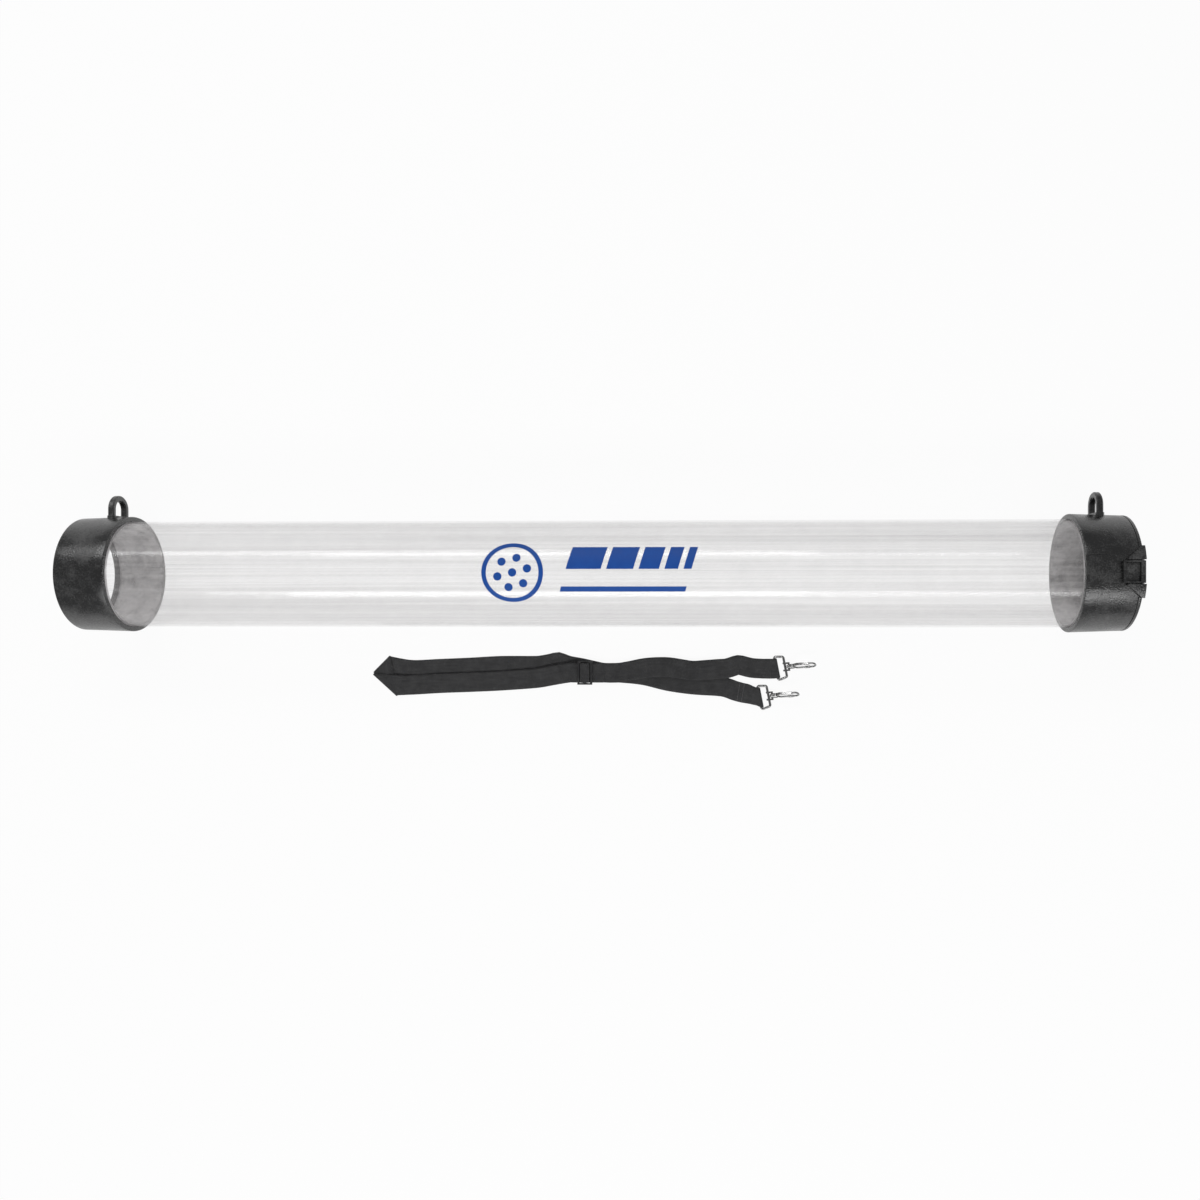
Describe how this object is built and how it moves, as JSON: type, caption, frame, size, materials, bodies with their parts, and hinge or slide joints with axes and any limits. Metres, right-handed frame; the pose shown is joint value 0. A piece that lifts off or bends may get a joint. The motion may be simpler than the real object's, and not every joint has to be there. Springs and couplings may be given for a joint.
{
  "type": "pickleball pickup tube",
  "caption": "Clear ball pickup tube with a moulded collar at each end, a hinged latched lid, two strap eyelets and a loose webbing strap with an adjuster and swivel snap hooks.",
  "frame": {"origin": "centre of the pickup mouth, on the tube's axis, in the plane of the pickup collar's outer face", "axes": "+X along the tube's axis to the lid, +Y to the eyelets, +Z to the latch and away from the floor that the tube lies on"},
  "size_m": [0.8058, 0.1715, 0.0925],
  "materials": {
    "clear_tube": "clear, polished",
    "collar_plastic": "fine grained black",
    "adjuster_plastic": "smooth black",
    "webbing": "woven black polyester",
    "hook_metal": "nickel plated",
    "pin_steel": "satin"
  },
  "bodies": {
    "carrier": {"tube": "clear_tube", "pickup_collar": "collar_plastic", "release_collar": "collar_plastic", "lid_hinge_pin": "pin_steel"},
    "lid": {"lid": "collar_plastic", "latch_pin": "pin_steel"},
    "latch": {"latch": "collar_plastic"},
    "strap": {"webbing_strap": "webbing"},
    "adjuster": {"adjuster_slide": "adjuster_plastic"},
    "loop_a": {"loop_a": "hook_metal"},
    "yoke_a": {"yoke_a": "hook_metal"},
    "hook_a": {"hook_a": "hook_metal", "gate_rivet_a": "pin_steel"},
    "gate_a": {"gate_a": "hook_metal"},
    "loop_b": {"loop_b": "hook_metal"},
    "yoke_b": {"yoke_b": "hook_metal"},
    "hook_b": {"hook_b": "hook_metal", "gate_rivet_b": "pin_steel"},
    "gate_b": {"gate_b": "hook_metal"}
  },
  "joints": [
    {"name": "lid_hinge", "type": "hinge", "parent": "carrier", "child": "lid", "pos_m": [0.803, 0, -0.042], "axis": [0, 1, 0], "range_deg": [0, 90]},
    {"name": "latch_pivot", "type": "hinge", "parent": "lid", "child": "latch", "pos_m": [0.8039, 0, 0.0454], "axis": [0, 1, 0], "range_deg": [0, 110]},
    {"name": "strap_lift", "type": "slide", "parent": "carrier", "child": "strap", "axis": [0, 0, 1], "range_m": [0, 0.3]},
    {"name": "adjuster_travel", "type": "slide", "parent": "strap", "child": "adjuster", "axis": [1, 0, 0], "range_m": [-0.03, 0.06], "deforming": ["webbing_strap"]},
    {"name": "loop_a_swing", "type": "hinge", "parent": "strap", "child": "loop_a", "pos_m": [0.5449, -0.076, -0.043], "axis": [-0.1908, 0.9816, 0], "range_deg": [-75, 75]},
    {"name": "yoke_a_swing", "type": "hinge", "parent": "loop_a", "child": "yoke_a", "pos_m": [0.55226, -0.07457, -0.043], "axis": [-0.1908, 0.9816, 0], "range_deg": [-80, 80]},
    {"name": "hook_a_swivel", "type": "hinge", "parent": "yoke_a", "child": "hook_a", "pos_m": [0.55226, -0.07457, -0.043], "axis": [0.9704, 0.091, 0.2239], "continuous": true},
    {"name": "gate_a_pivot", "type": "hinge", "parent": "hook_a", "child": "gate_a", "pos_m": [0.55777, -0.07367, -0.04088], "axis": [-0.0085, -0.9131, 0.4078], "range_deg": [-23, 0], "stiffness_Nm_per_rad": 0.01, "springref_deg": 28.65},
    {"name": "loop_b_swing", "type": "hinge", "parent": "strap", "child": "loop_b", "pos_m": [0.5314, -0.0997, -0.043], "axis": [-0.1908, 0.9816, 0], "range_deg": [-75, 75]},
    {"name": "yoke_b_swing", "type": "hinge", "parent": "loop_b", "child": "yoke_b", "pos_m": [0.53876, -0.09827, -0.043], "axis": [-0.1908, 0.9816, 0], "range_deg": [-80, 80]},
    {"name": "hook_b_swivel", "type": "hinge", "parent": "yoke_b", "child": "hook_b", "pos_m": [0.53876, -0.09827, -0.043], "axis": [0.9704, 0.091, 0.2239], "continuous": true},
    {"name": "gate_b_pivot", "type": "hinge", "parent": "hook_b", "child": "gate_b", "pos_m": [0.54427, -0.09737, -0.04088], "axis": [-0.0085, -0.9131, 0.4078], "range_deg": [-23, 0], "stiffness_Nm_per_rad": 0.01, "springref_deg": 28.65}
  ]
}
